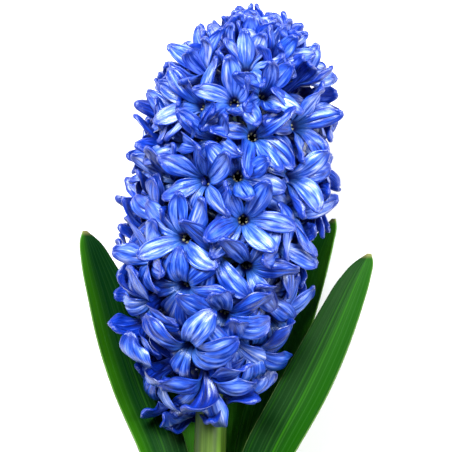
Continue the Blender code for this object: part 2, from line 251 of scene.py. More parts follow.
class Build:
    """Grids gathered into one mesh, each point with its marks for the material."""

    def __init__(self):
        self.points, self.marks, self.tints, self.quads = [], [], [], []
        self.count = 0

    def add(self, points, quads, marks, tint):
        points = np.asarray(points, float).reshape(-1, 3)
        self.points.append(points)
        self.quads.append(np.asarray(quads, int).reshape(-1, 4) + self.count)
        self.marks.append(np.broadcast_to(np.asarray(marks, float), points.shape))
        self.tints.append(np.broadcast_to(np.asarray(tint, float), points.shape))
        self.count += len(points)

    def made(self, name, material, slot, *nodes):
        """Makes the gathered mesh a piece that stands for CAD nodes."""
        points = pressed(np.concatenate(self.points))
        quads = np.concatenate(self.quads)
        mesh = bpy.data.meshes.new(name)
        mesh.vertices.add(len(points))
        mesh.vertices.foreach_set("co", points.ravel())
        mesh.loops.add(quads.size)
        mesh.loops.foreach_set("vertex_index", quads.ravel())
        mesh.polygons.add(len(quads))
        mesh.polygons.foreach_set("loop_start", np.arange(len(quads)) * 4)
        for title, rows in (("marks", self.marks), ("tints", self.tints)):
            values = mesh.attributes.new(title, "FLOAT_VECTOR", "POINT")
            values.data.foreach_set("vector", np.concatenate(rows).ravel())
        mesh.update(calc_edges=True)
        mesh.validate()
        mesh.shade_smooth()
        mesh.materials.append(material)
        piece = bpy.data.objects.new(name, mesh)
        bpy.context.scene.collection.objects.link(piece)
        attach(piece, "root")
        if nodes:
            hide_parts(*nodes)


def grid_quads(rows, columns, first=0, flip=False):
    """The quads of a grid of points, row by row."""
    i, j = np.meshgrid(np.arange(rows - 1), np.arange(columns - 1), indexing="ij")
    a = first + i * columns + j
    quads = np.stack([a, a + columns, a + columns + 1, a + 1], -1).reshape(-1, 4)
    return quads[:, ::-1] if flip else quads


def sheet_quads(rows, columns):
    """The quads of a closed sheet: its face, then its back, then its rim."""
    count = rows * columns
    face = grid_quads(rows, columns)
    back = grid_quads(rows, columns, count, flip=True)
    index = np.arange(count).reshape(rows, columns)
    rim = np.concatenate([index[0, :-1], index[:-1, -1], index[-1, :0:-1], index[:0:-1, 0]])
    ahead = np.roll(rim, -1)
    return np.concatenate([face, back, np.stack([rim, ahead, ahead + count, rim + count], -1)])


def two_faces(points, shift, places, shares):
    """The points on both faces of a sheet, and their marks: place across, share along and 1 on the back."""
    marks = np.stack(np.broadcast_arrays(places[None, :], shares[:, None], 0.0), -1)
    back = marks + np.array([0.0, 0.0, 1.0])
    both = np.concatenate([(points + shift).reshape(-1, 3), (points - shift).reshape(-1, 3)])
    return both, np.concatenate([marks.reshape(-1, 3), back.reshape(-1, 3)])


def ring_quads(rings, sides):
    """The quads of rings that follow each other."""
    i, j = np.meshgrid(np.arange(rings - 1), np.arange(sides), indexing="ij")
    a, b = i * sides + j, i * sides + (j + 1) % sides
    return np.stack([a, b, b + sides, a + sides], -1).reshape(-1, 4)


def turned(path, radii, sides, start):
    """Rings of points round a path; each starts square to a given direction."""
    path = np.asarray(path, float)
    along = unit(np.gradient(path, axis=0))
    across = unit(np.cross(along, start))
    beside = np.cross(along, across)
    turn = np.linspace(0.0, 2 * np.pi, sides, endpoint=False)[None, :, None]
    radii = np.asarray(radii, float)[:, None, None]
    return path[:, None] + radii * (across[:, None] * np.cos(turn) + beside[:, None] * np.sin(turn))


# ---------------------------------------------------------------------------------------------- petals


@dataclass
class Petal:
    """The form of one petal. Angles are in radians and start from its floret's axis."""

    way: float
    length: float
    width: float
    start: float
    end: float
    late: float
    cup: float
    swing: float
    twist: float
    wave: float
    chance: float


@dataclass
class Floret:
    """Where a floret stands and what its petals are."""

    throat: np.ndarray
    face: np.ndarray
    across: np.ndarray
    beside: np.ndarray
    rise: float
    petals: list


def petal_line(petal):
    """The middle line of a petal: free share, out, along and angle at even steps from its foot to its tip."""
    total = TUBE_LENGTH + petal.length
    distance = np.linspace(0.0, total, LINE_STEPS)
    share = (distance - TUBE_LENGTH) / petal.length
    free = np.clip(share, 0.0, 1.0)
    flare = TUBE_FLARE * petal.start * ease(-0.4, 0.0, share)
    bend = petal.start + (petal.end - petal.start) * free**petal.late
    opening = ease(0.0, 0.2, share)
    angle = flare * (1 - opening) + bend * opening - HOOD * ease(HOOD_FROM, 1.0, share)
    step = total / (LINE_STEPS - 1)
    turns = (angle[1:] + angle[:-1]) / 2
    out = TUBE_FOOT + np.concatenate([[0.0], np.cumsum(np.sin(turns) * step)])
    along = -TUBE_LENGTH + np.concatenate([[0.0], np.cumsum(np.cos(turns) * step)])
    return share, out, along, angle


def petal_width(petal, share, out):
    """The width of a petal: a sixth of the tube at its foot, then a strap with a blunt tip."""
    tube = 2 * np.tan(np.pi / PETALS) * (out + 0.3) * TUBE_OVERLAP
    strap = petal.width * smooth(STRAP, np.clip(share, 0.0, 1.0))
    blend = ease(-0.05, 0.1, share)
    return tube * (1 - blend) + strap * blend


def petal_sheet(floret, petal, shares, places):
    """The middle surface of a petal in the plant's frame and its inward normals, at free shares and places
    across from -1 to 1."""
    share, out, along, angle = petal_line(petal)
    out, along, angle = (np.interp(shares, share, v)[:, None] for v in (out, along, angle))
    shares, places = np.asarray(shares)[:, None], np.asarray(places)[None, :]
    half = petal_width(petal, shares, out) / 2
    free = np.clip(shares, 0.0, 1.0)
    cups = ((-0.1, 0.3), (0.15, 0.4), (0.4, petal.cup), (0.8, petal.cup), (0.93, 0.45), (1.0, 0.6))
    bow = smooth(cups, np.clip(shares, -0.1, 1.0))
    window = ease(0.05, 0.3, shares) * (1 - ease(0.8, 0.97, shares))
    lift = bow * half * places**2 - FLUTE * window * np.cos(3 * np.pi * places)
    lift = lift - GROOVE * window * np.exp(-((places / GROOVE_WIDTH) ** 2))
    ripple = np.sin(RIPPLE_TURNS * free + petal.wave + 1.6 * np.sign(places))
    lift = lift + RIPPLE * window * np.abs(places) ** 2.5 * ripple
    turn = petal.twist * ease(0.1, 1.0, free)
    side = half * places
    sway = petal.swing * petal.length * free**2 / 2
    spoke = floret.across * np.cos(petal.way) + floret.beside * np.sin(petal.way)
    sideways = np.cross(floret.face, spoke)
    lateral = side * np.cos(turn) - lift * np.sin(turn) + sway
    raised = side * np.sin(turn) + lift * np.cos(turn)
    outward = out - raised * np.cos(angle)
    forward = along + raised * np.sin(angle)
    points = (floret.throat + outward[..., None] * spoke + forward[..., None] * floret.face
              + lateral[..., None] * sideways)
    normals = unit(np.cross(np.gradient(points, axis=0), np.gradient(points, axis=1)))
    return points, normals


# Where a petal is sampled for the search, and the rows and columns of its mesh
SAMPLE_SHARES = np.array([0.12, 0.26, 0.4, 0.53, 0.66, 0.78, 0.9, 1.0])
SAMPLE_PLACES = np.array([-0.8, 0.0, 0.8])
TIP_ROWS = (0.885, 0.93, 0.965, 0.99, 1.0)
PETAL_ROWS = np.concatenate([np.linspace(-0.42, 0.0, 4), np.linspace(0.06, 0.84, 13), TIP_ROWS])
PETAL_PLACES = np.sin(np.linspace(-1.0, 1.0, 13) * 1.2) / np.sin(1.2)


def depth_in_head(points):
    """How deep points lie between the florets, from 0 outside to 1, which sets how much painted shade they
    get.
    """
    up = np.clip(points[..., 1], HEAD_FOOT, HEAD_TOP)
    away = points - head_middle(up)
    reach = np.hypot(away[..., 0], away[..., 2]) - smooth(THROATS, up)
    below = HEAD_FOOT - points[..., 1]
    above = points[..., 1] - HEAD_TOP
    return 1 - ease(*DEEP, np.maximum(reach, np.maximum(below, above)))


def add_petal(build, floret, petal):
    """One petal as a closed fleshy sheet, thickest in its tip."""
    points, normals = petal_sheet(floret, petal, PETAL_ROWS, PETAL_PLACES)
    free = PETAL_ROWS[:, None]
    rim = 1 - np.abs(PETAL_PLACES[None, :]) ** 3
    knob = ease(0.82, 0.96, free) * (1 - 0.6 * ease(0.97, 1.0, free))
    full = PETAL_THICK + (TIP_THICK - PETAL_THICK) * knob
    edge = EDGE_THICK * (1 + 1.2 * knob)
    thick = edge + (full - edge) * rim
    both, marks = two_faces(points, normals * thick[..., None] / 2, PETAL_PLACES, PETAL_ROWS)
    # Random tone, height in the head, and depth between the florets, which sets the painted shade
    tints = np.stack(np.broadcast_arrays(petal.chance, floret.rise, depth_in_head(both)), -1)
    build.add(both, sheet_quads(len(PETAL_ROWS), len(PETAL_PLACES)), marks, tints)


def add_tube(build, floret):
    """The stalk from the middle of the head and the swelling at the foot of the tube."""
    foot = floret.throat - floret.face * (TUBE_LENGTH - 0.5)
    middle = axis_point(np.clip(foot[1] - STALK_DROP, *STALK_ENDS))
    outward = unit((foot - middle) * (1.0, 0.0, 1.0))
    root = middle + outward * STALK_ROOT
    bend = foot - floret.face * np.linalg.norm(foot - root) * STALK_BOW
    t = np.linspace(0.0, 1.0, STALK_STEPS)[:, None]
    path = root * (1 - t) ** 2 + 2 * bend * t * (1 - t) + foot * t**2
    path = np.concatenate([path, foot + floret.face * np.array([[1.2], [2.6]])])
    radii = [STALK_RADIUS] * 6 + [1.5] + [SWELL_RADIUS * share for share in SWELL_SHARES]
    rings = turned(path, radii, STALK_SIDES, floret.across)
    along = np.linspace(-2.0, -0.4, len(path))[:, None] * np.ones(STALK_SIDES)
    marks = np.stack(np.broadcast_arrays(0.0, along, 1.0), -1)
    # Stalks and tubes get a fixed painted shade of 0.6, as they lie inside the head
    build.add(rings, ring_quads(len(path), STALK_SIDES), marks.reshape(-1, 3), (0.5, floret.rise, 0.6))


def add_anthers(build, floret, draw):
    """Six small anthers deep in the throat."""
    for k in range(PETALS):
        way = (k + 0.5) * 2 * np.pi / PETALS + draw.normal(0.0, JITTER)
        spoke = floret.across * np.cos(way) + floret.beside * np.sin(way)
        deep = ANTHER_DEEP + draw.uniform(-0.4, 0.4)
        middle = floret.throat + spoke * ANTHER_OUT - floret.face * deep
        t = np.linspace(-1.0, 1.0, ANTHER_RINGS)
        path = middle + (floret.face * ANTHER_LENGTH / 2)[None] * t[:, None]
        radii = ANTHER_RADIUS * np.sqrt(np.clip(1 - t**2, 0.02, 1.0))
        rings = turned(path, radii, ANTHER_SIDES, spoke)
        quads = ring_quads(ANTHER_RINGS, ANTHER_SIDES)
        build.add(rings, quads, (0.0, 0.0, 0.0), (draw.uniform(), 0.0, 0.0))


# ---------------------------------------------------------------------------------------------- florets


def throat_places():
    """The heights and turns of the throats, and which seen floret each is or -1: shares of the throat surface
    up a spiral, moved to where florets are seen in front, and the rest spread between those."""
    up = np.linspace(HEAD_FOOT, HEAD_TOP, BAND_STEPS)
    radius = smooth(THROATS, up)
    band = np.hypot(np.diff(up), np.diff(radius)) * (radius[1:] + radius[:-1]) / 2 * read(CLOSENESS, up[1:])
    share = np.concatenate([[0.0], np.cumsum(band)]) / band.sum()
    ups = np.interp((np.arange(FLORETS) + 0.5) / FLORETS, share, up)
    turns = FIRST_TURN + np.arange(FLORETS) * GOLDEN_ANGLE
    seen = np.full(FLORETS, -1)
    for number, (right, height, *_) in enumerate(FRONT_FLORETS):
        offset = (right - head_middle(height)[0]) / smooth(THROATS, height)
        turn = np.arccos(np.clip(offset, -SIDEMOST, SIDEMOST))
        gaps = np.linalg.norm(stood(ups, turns) - stood(height, turn), axis=1) + 1e6 * (seen >= 0)
        nearest = int(np.argmin(gaps))
        ups[nearest], turns[nearest], seen[nearest] = height, turn, number
    ups, turns = spread(ups, turns, seen < 0)
    return ups, turns, seen


def spread(ups, turns, loose):
    """Heights and turns of throats, after the loose ones were pushed away from their neighbours."""
    for _ in range(SPREAD_ROUNDS):
        points = stood(ups, turns)
        wish = SPACING / np.sqrt(read(CLOSENESS, ups))
        apart = points[:, None] - points[None]
        gaps = np.linalg.norm(apart, axis=-1) + 1e-6
        room = (wish[:, None] + wish[None]) / 2
        push = np.clip(room - gaps, 0.0, None) * (gaps > 1e-3) * PUSH_SHARE
        move = (apart / gaps[..., None] * push[..., None]).sum(1)
        tangent = np.stack([-np.sin(turns), 0 * turns, np.cos(turns)], -1)
        turns = turns + loose * (move * tangent).sum(1) / np.maximum(smooth(THROATS, ups), 3.0)
        ups = np.clip(ups + loose * move[:, 1], HEAD_FOOT + 2, HEAD_TOP)
    return ups, turns


def stood(up, turn):
    """The place of a throat on the throat surface."""
    return head_middle(up) + around(turn) * smooth(THROATS, up)[..., None]


def stand(up, turn, seen, draw):
    """A floret in its place, with petals in their common form."""
    rise = (up - HEAD_FOOT) / (HEAD_TOP - HEAD_FOOT)
    slope = np.arctan2(smooth(THROATS, up - 1) - smooth(THROATS, up + 1), 2.0)
    lean = slope * LEAN_SHARE + read(DROOP, rise) + draw.normal(0.0, JITTER)
    face = unit(around(turn + draw.normal(0.0, JITTER)) * np.cos(lean) + UP * np.sin(lean))
    roll, curl = draw.uniform(0.0, 360.0), draw.normal(0.0, 12.0)
    if seen >= 0:
        _, _, look_right, look_up, roll, curl = FRONT_FLORETS[seen]
        face = np.array([look_right, look_up, np.sqrt(1 - look_right**2 - look_up**2)])
    throat = stood(up, turn) + around(turn) * (draw.uniform(-1.5, 1.0) if seen < 0 else STAND_OUT)
    across = unit(np.cross(UP + 0.2 * FRONT, face))
    beside = np.cross(face, across)
    start = read(PETAL_START, rise) + draw.normal(0.0, 4.0)
    length = PETAL_LENGTH * read(PETAL_SHARE, rise) * draw.uniform(0.95, 1.05)
    petals = []
    for k in range(PETALS):
        outer = k % 2
        petals.append(Petal(
            way=roll * DEGREE + k * 2 * np.pi / PETALS + draw.normal(0.0, JITTER),
            length=length * draw.uniform(0.93, 1.06),
            width=PETAL_WIDTH * (0.94 + 0.1 * outer) * read(PETAL_BREADTH, rise),
            start=(start + draw.normal(0.0, 5.0)) * DEGREE,
            end=(read(PETAL_END, rise) + curl + 12 * outer + draw.normal(0.0, 14.0)) * DEGREE,
            late=read(PETAL_LATE, rise) * draw.uniform(0.8, 1.3),
            cup=read(PETAL_CUP, rise) + draw.normal(0.0, 0.15),
            swing=draw.normal(0.0, 0.18),
            twist=draw.normal(0.0, read(PETAL_TWIST, rise)),
            wave=draw.uniform(0.0, 2 * np.pi),
            chance=draw.uniform()))
    return Floret(throat, face, across, beside, rise, petals)


def tried(petal, draw):
    """A petal bent another way."""
    return replace(petal, way=petal.way + draw.normal(0.0, TRY_WAY),
                   start=petal.start + draw.normal(0.0, TRY_START) * DEGREE,
                   end=petal.end + draw.normal(0.0, TRY_END) * DEGREE,
                   swing=petal.swing + draw.normal(0.0, TRY_SWING),
                   twist=petal.twist + draw.normal(0.0, TRY_TWIST))


def samples(floret, petal):
    return petal_sheet(floret, petal, SAMPLE_SHARES, SAMPLE_PLACES)[0].reshape(-1, 3)


def pressure(points, others, room):
    """How far points press into the room of others."""
    gaps = np.sqrt(((points[:, None] - others[None]) ** 2).sum(-1)).min(1)
    return (np.clip(room - gaps, 0.0, None) ** 2).sum()


def crowding(points, others, obstacles):
    """How far a petal's points press into the room of other petals, of obstacles and of the floor."""
    cost = pressure(points, others, ROOM)
    if len(obstacles):
        cost += OBSTACLE_WEIGHT * pressure(points, obstacles, OBSTACLE_ROOM)
    height = laid(points)[:, 2] / MM
    return cost + FLOOR_WEIGHT * (np.clip(FLOOR_ROOM - height, 0.0, None) ** 2).sum()


def within(points, middle, reach):
    """Those of the points that lie near a place."""
    return points[np.linalg.norm(points - middle, axis=1) < reach]


def nestle(florets, obstacles, draw):
    """Bends each petal to where it has the most room."""
    points = [[samples(f, p) for p in f.petals] for f in florets]
    throats = np.array([f.throat for f in florets])
    for _ in range(ROUNDS):
        for i, floret in enumerate(florets):
            distance = np.linalg.norm(throats - throats[i], axis=1)
            near = [j for j in np.flatnonzero(distance < NEAR) if j != i]
            around_it = np.concatenate([np.concatenate(points[j]) for j in near])
            for k, petal in enumerate(floret.petals):
                own = [points[i][m][2 * len(SAMPLE_PLACES):] for m in range(PETALS) if m != k]
                middle = points[i][k].mean(0)
                others = within(np.concatenate([around_it, *own]), middle, PETAL_REACH)
                close = within(obstacles, middle, PETAL_REACH)
                best, best_cost = petal, crowding(points[i][k], others, close)
                for _ in range(TRIALS):
                    trial = tried(petal, draw)
                    trial_points = samples(floret, trial)
                    strain = abs(trial.end - petal.end) + abs(trial.swing - petal.swing)
                    cost = crowding(trial_points, others, close) + STRAIN_WEIGHT * strain
                    if cost < best_cost:
                        best, best_cost = trial, cost
                        points[i][k] = trial_points
                floret.petals[k] = best


# ---------------------------------------------------------------------------------------------- leaves

# The stations of each leaf from foot to tip: (up, right, front, width, facing in degrees, channel radius)
LEAVES = {
    "leaf_left": ((0.0, -13.2, 0.0, 11.5, 0.0, 7.7), (30.0, -15.6, -2.5, 15.0, 30.0, 10.0),
                  (50.0, -19.0, -5.2, 18.0, 50.0, 15.0), (70.0, -24.6, -8.0, 20.5, 63.0, 20.0),
                  (91.0, -33.2, -10.5, 22.0, 62.0, 26.0), (109.0, -39.6, -13.0, 21.5, 60.0, 28.0),
                  (126.0, -44.3, -13.5, 19.0, 60.0, 28.0), (140.0, -49.0, -12.5, 13.5, 60.0, 20.0),
                  (148.0, -51.8, -11.5, 7.5, 60.0, 12.0), (151.5, -53.2, -11.0, 1.5, 60.0, 8.0)),
    "leaf_right_front": ((0.0, 2.1, 1.3, 11.5, 190.0, 7.7), (30.0, 2.7, 1.4, 13.5, 178.0, 10.0),
                         (50.0, 9.0, 1.2, 18.0, 145.0, 15.0), (70.0, 16.8, 1.0, 22.0, 118.0, 22.0),
                         (92.0, 28.4, 1.0, 22.0, 113.0, 28.0), (113.0, 38.6, 0.5, 18.5, 112.0, 28.0),
                         (124.0, 43.6, -0.5, 15.8, 112.0, 24.0), (134.0, 48.2, -1.5, 12.0, 112.0, 18.0),
                         (140.0, 51.4, -2.2, 7.0, 112.0, 12.0), (143.0, 53.2, -2.6, 1.5, 112.0, 8.0)),
    "leaf_right_back": ((0.0, 4.0, -2.6, 12.2, 165.0, 9.8), (30.0, 5.8, -5.2, 13.6, 151.0, 13.0),
                        (50.0, 8.2, -9.6, 16.0, 132.0, 16.0), (70.0, 11.4, -12.6, 17.0, 124.0, 20.0),
                        (92.0, 17.8, -16.6, 18.5, 125.0, 26.0), (110.0, 24.2, -20.6, 19.0, 128.0, 30.0),
                        (124.0, 29.0, -22.6, 18.5, 130.0, 30.0), (136.0, 32.8, -21.0, 16.5, 130.0, 26.0),
                        (147.0, 37.0, -17.4, 11.0, 130.0, 18.0), (153.0, 39.6, -14.8, 6.0, 130.0, 12.0),
                        (156.0, 40.8, -13.4, 1.5, 130.0, 8.0)),
    "leaf_back_left": ((0.0, -14.9, -2.7, 12.0, 16.0, 9.8), (30.0, -16.5, -8.8, 14.0, 45.0, 14.0),
                       (50.0, -18.2, -14.2, 16.4, 58.0, 18.0), (70.0, -19.2, -19.2, 17.6, 66.0, 24.0),
                       (92.0, -21.8, -23.6, 17.4, 68.0, 28.0), (110.0, -25.6, -26.4, 14.5, 62.0, 28.0),
                       (124.0, -28.4, -27.8, 10.0, 56.0, 22.0), (132.0, -29.8, -28.2, 6.0, 56.0, 14.0),
                       (137.0, -30.6, -28.4, 1.5, 56.0, 8.0)),
    "leaf_back_right": ((0.0, -5.8, -9.8, 11.6, 88.0, 9.8), (30.0, -3.0, -14.6, 12.6, 97.0, 14.0),
                        (60.0, 0.0, -21.3, 14.0, 97.0, 22.0), (75.0, 0.8, -24.1, 14.0, 93.0, 28.0),
                        (92.0, 2.4, -27.1, 12.0, 94.0, 30.0), (102.0, 5.2, -28.9, 7.5, 98.0, 20.0),
                        (109.0, 8.4, -30.0, 1.5, 100.0, 8.0)),
}
LEAF_THICK = 1.6
LEAF_EDGE = 0.6
LEAF_ROWS = 70
LEAF_COLUMNS = 33
NARROW_LEAF = 8.0
RIB_COUNT = 9
RIB_HEIGHT = 0.03

# The points of the green parts that petals keep clear of
GREEN_COLUMNS = 9
GREEN_SIDES = 12
GREEN_STEP = 2.5
GREEN_FOOT = 60.0
GREEN_STEM_TOP = 118.0
GREEN_STEM_RADIUS = 5.6


def leaf_sheet(stations, ups, places):
    """The middle surface of a leaf, its inward normals and its widths, at heights and places from -1 to 1."""
    heights = [s[0] for s in stations]
    right, front, width, facing, channel = (
        smooth(list(zip(heights, (s[column] for s in stations))), ups)[:, None] for column in (1, 2, 3, 4, 5))
    inward = around(facing * DEGREE)
    across = np.stack([inward[..., 2], np.zeros_like(facing), -inward[..., 0]], -1)
    bow = (places[None, :] * width / 2 / channel)[..., None]
    middle = np.stack([right, ups[:, None], front], -1)
    channel = channel[..., None]
    points = middle + across * np.sin(bow) * channel + inward * (1 - np.cos(bow)) * channel
    return points, inward * np.cos(bow) - across * np.sin(bow), width


def make_leaf(name, chance, material):
    """A leaf with its parallel ribs, its thin margins and its cut foot."""
    stations = LEAVES[name]
    low, high = stations[0][0], stations[-1][0]
    ups = low + (high - low) * (1 - (1 - np.linspace(0.0, 1.0, LEAF_ROWS)) ** 1.5)
    places = np.linspace(-1.0, 1.0, LEAF_COLUMNS)
    points, inward, width = leaf_sheet(stations, ups, places)
    full = np.minimum(1.0, width / NARROW_LEAF)
    swell = (1 - np.abs(places[None, :]) ** 1.5) * full
    thick = LEAF_EDGE + (LEAF_THICK - LEAF_EDGE) * swell
    ribs = RIB_HEIGHT * np.cos(np.pi * RIB_COUNT * places) * full
    shift = inward * (thick / 2 + ribs)[..., None]
    both, marks = two_faces(points, shift, places, (ups - low) / (high - low))
    build = Build()
    build.add(both, sheet_quads(LEAF_ROWS, LEAF_COLUMNS), marks, (chance, 0.0, 0.0))
    build.made(name + "_looks", material, "leaf", name)


def green_points():
    """Points on the leaves and the stem that petals keep clear of."""
    found = []
    for stations in LEAVES.values():
        ups = np.arange(stations[0][0] + GREEN_FOOT, stations[-1][0], GREEN_STEP)
        found.append(leaf_sheet(stations, ups, np.linspace(-1.0, 1.0, GREEN_COLUMNS))[0].reshape(-1, 3))
    turns = np.linspace(0.0, 2 * np.pi, GREEN_SIDES, endpoint=False)
    for up in np.arange(GREEN_FOOT, GREEN_STEM_TOP, GREEN_STEP):
        found.append(axis_point(up) + around(turns) * GREEN_STEM_RADIUS)
    return np.concatenate(found)


# ---------------------------------------------------------------------------------------------- stem

STEM_RADII = ((0.0, 6.4), (40.0, 6.2), (95.0, 5.6), (121.0, 5.0), (160.0, 4.2), (200.0, 2.8), (216.0, 1.8))
STEM_TOP = STEM_RADII[-1][0]
STEM_RINGS = 110
STEM_SIDES = 48
END_SHARES = np.array([1.0, 0.8, 0.55, 0.3, 0.05])


def make_stem(material):
    """The stem from its cut end up through the middle of the head, round with faint ridges."""
    ups = np.linspace(0.0, STEM_TOP, STEM_RINGS)
    turns = np.linspace(0.0, 2 * np.pi, STEM_SIDES, endpoint=False)
    turn_shares = turns[None, :] / (2 * np.pi)
    ridge = 1 + 0.012 * np.cos(9 * turns) + 0.008 * np.cos(5 * turns + 1.0)
    radii = smooth(STEM_RADII, ups)
    rings = axis_point(ups)[:, None] + around(turns)[None] * (radii[:, None] * ridge)[..., None]
    marks = np.stack(np.broadcast_arrays(turn_shares, ups[:, None] / STEM_TOP, 0.0), -1)
    tint = (0.5, 0.0, 0.0)
    build = Build()
    build.add(rings[:, ::-1], ring_quads(STEM_RINGS, STEM_SIDES), marks[:, ::-1].reshape(-1, 3), tint)
    for height, radius in ((0.0, radii[0]), (STEM_TOP, radii[-1])):
        disc = axis_point(height) + around(turns)[None] * (radius * END_SHARES[:, None] * ridge)[..., None]
        disc = disc[:, ::-1] if height == 0.0 else disc
        marks = np.stack(np.broadcast_arrays(turn_shares, END_SHARES[:, None], 1.0), -1)
        build.add(disc, ring_quads(len(END_SHARES), STEM_SIDES)[:, ::-1], marks.reshape(-1, 3), tint)
    build.made("stem_looks", material, "stem", "stem")


# ---------------------------------------------------------------------------------------------- materials


class Nodes:
    """Short names for the nodes of one material."""

    def __init__(self, name):
        self.material = bpy.data.materials.new(name)
        self.material.use_nodes = True
        self.tree = self.material.node_tree
        self.shader = self.tree.nodes["Principled BSDF"]

    def put(self, socket, value):
        if isinstance(value, bpy.types.NodeSocket):
            self.tree.links.new(value, socket)
        else:
            socket.default_value = value

    def math(self, operation, *values):
        node = self.tree.nodes.new("ShaderNodeMath")
        node.operation = operation
        for socket, value in zip(node.inputs, values):
            self.put(socket, value)
        return node.outputs[0]

    def marks(self, title):
        """The three values of a stored mark."""
        node = self.tree.nodes.new("ShaderNodeAttribute")
        node.attribute_name = title
        split = self.tree.nodes.new("ShaderNodeSeparateXYZ")
        self.tree.links.new(node.outputs["Vector"], split.inputs[0])
        return split.outputs[0], split.outputs[1], split.outputs[2]

    def joined(self, x, y, z):
        node = self.tree.nodes.new("ShaderNodeCombineXYZ")
        for socket, value in zip(node.inputs, (x, y, z)):
            self.put(socket, value)
        return node.outputs[0]

    def noise(self, vector, scale, detail):
        node = self.tree.nodes.new("ShaderNodeTexNoise")
        self.tree.links.new(vector, node.inputs["Vector"])
        node.inputs["Scale"].default_value = scale
        node.inputs["Detail"].default_value = detail
        return node.outputs["Fac"]

    def place(self):
        """The place in the piece's own space."""
        return self.tree.nodes.new("ShaderNodeTexCoord").outputs["Object"]

    def range(self, value, low, high, to_low=0.0, to_high=1.0):
        """A soft step between two values; it runs down where low is above high."""
        node = self.tree.nodes.new("ShaderNodeMapRange")
        node.interpolation_type = "SMOOTHSTEP"
        for title, number in (("Value", value), ("From Min", low), ("From Max", high),
                              ("To Min", to_low), ("To Max", to_high)):
            self.put(node.inputs[title], number)
        return node.outputs["Result"]

    def ramp(self, value, stops):
        node = self.tree.nodes.new("ShaderNodeValToRGB")
        self.tree.links.new(value, node.inputs["Fac"])
        elements = node.color_ramp.elements
        while len(elements) < len(stops):
            elements.new(0.5)
        for element, (position, colour) in zip(elements, stops):
            element.position = position
            element.color = (*colour, 1.0)
        return node.outputs["Color"]

    def mix(self, share, a, b):
        """A colour between two: all a at share 0 and all b at 1."""
        node = self.tree.nodes.new("ShaderNodeMix")
        node.data_type = "RGBA"
        self.put(node.inputs["Factor"], share)
        for title, value in (("A", a), ("B", b)):
            socket = next(s for s in node.inputs if s.name == title and s.type == "RGBA")
            self.put(socket, value if isinstance(value, bpy.types.NodeSocket) else (*value, 1.0))
        return next(s for s in node.outputs if s.type == "RGBA")

    def bump(self, height, strength, distance):
        node = self.tree.nodes.new("ShaderNodeBump")
        node.inputs["Strength"].default_value = strength
        node.inputs["Distance"].default_value = distance
        self.tree.links.new(height, node.inputs["Height"])
        self.tree.links.new(node.outputs["Normal"], self.shader.inputs["Normal"])


def shown(red, green, blue):
    """A colour named by its screen values from 0 to 255."""
    part = np.array([red, green, blue]) / 255
    return tuple(np.where(part <= 0.04045, part / 12.92, ((part + 0.055) / 1.055) ** 2.4))


# The blues of a petal from dark to light, on its inner face and on its back; the near-white top of the inner
# face's blues is partly the petals' own pale streaks and partly painted highlight
PETAL_FRONT = ((0.2, shown(0, 18, 92)), (0.41, shown(4, 44, 150)), (0.58, shown(34, 80, 196)),
               (0.76, shown(102, 134, 226)), (0.93, shown(194, 204, 246)))
PETAL_BACK = ((0.2, shown(0, 10, 72)), (0.45, shown(0, 30, 128)), (0.68, shown(16, 60, 188)),
              (0.9, shown(100, 134, 230)))

# The greens of each leaf, dark, mid and bright, set lighter for the leaves at the back as painted light, then
# where its painted shaded half ends across, which side of it is the painted lit one, and how strong the
# painted highlight along its fold is
LEAF_LOOKS = {
    "leaf_left": (shown(2, 40, 10), shown(36, 92, 2), shown(52, 110, 26), 0.55, -1.0, 0.3),
    "leaf_right_front": (shown(2, 36, 6), shown(16, 68, 2), shown(42, 106, 6), 0.1, 1.0, 0.6),
    "leaf_right_back": (shown(20, 80, 12), shown(52, 120, 10), shown(96, 160, 36), 0.4, 1.0, 0.2),
    "leaf_back_left": (shown(16, 76, 8), shown(44, 116, 6), shown(76, 144, 22), 0.0, 1.0, 0.2),
    "leaf_back_right": (shown(16, 76, 8), shown(44, 116, 6), shown(76, 144, 22), 0.0, 1.0, 0.2),
}


def petal_lines(n, along, bent):
    """Where a petal has its dark lines: one along its middle and fainter ones beside it."""
    middle = n.math("SUBTRACT", 1.0, n.range(n.math("ABSOLUTE", bent), 0.02, 0.2))
    beside = n.math("COSINE", n.math("MULTIPLY", bent, 17.5))
    beside = n.math("MULTIPLY", n.range(beside, 0.1, 1.0), n.range(n.math("ABSOLUTE", bent), 0.95, 0.7))
    line = n.math("MAXIMUM", n.math("MULTIPLY", middle, 0.9), n.math("MULTIPLY", beside, 0.32))
    return n.math("MULTIPLY", line, n.range(along, 1.0, 0.25, 0.45, 1.0))


def petal_light(n, streak, fibre, line, chance, rise, across):
    """How light a petal is: streaked, its palest streaks partly painted highlight, darker in its lines and at
    its rims, paler near the top of the head.
    """
    light = n.math("ADD", n.math("MULTIPLY", streak, 0.74), n.math("MULTIPLY", fibre, 0.36))
    light = n.math("ADD", n.math("MULTIPLY", light, 1.3), -0.12)
    light = n.math("SUBTRACT", light, n.math("MULTIPLY", line, 0.25))
    light = n.math("ADD", light, n.math("MULTIPLY", n.math("SUBTRACT", chance, 0.5), 0.26))
    light = n.math("ADD", light, n.math("MULTIPLY", n.range(rise, 0.72, 0.95), 0.17))
    rim = n.range(n.math("ABSOLUTE", across), 0.66, 0.97)
    return n.math("SUBTRACT", light, n.math("MULTIPLY", rim, 0.17))


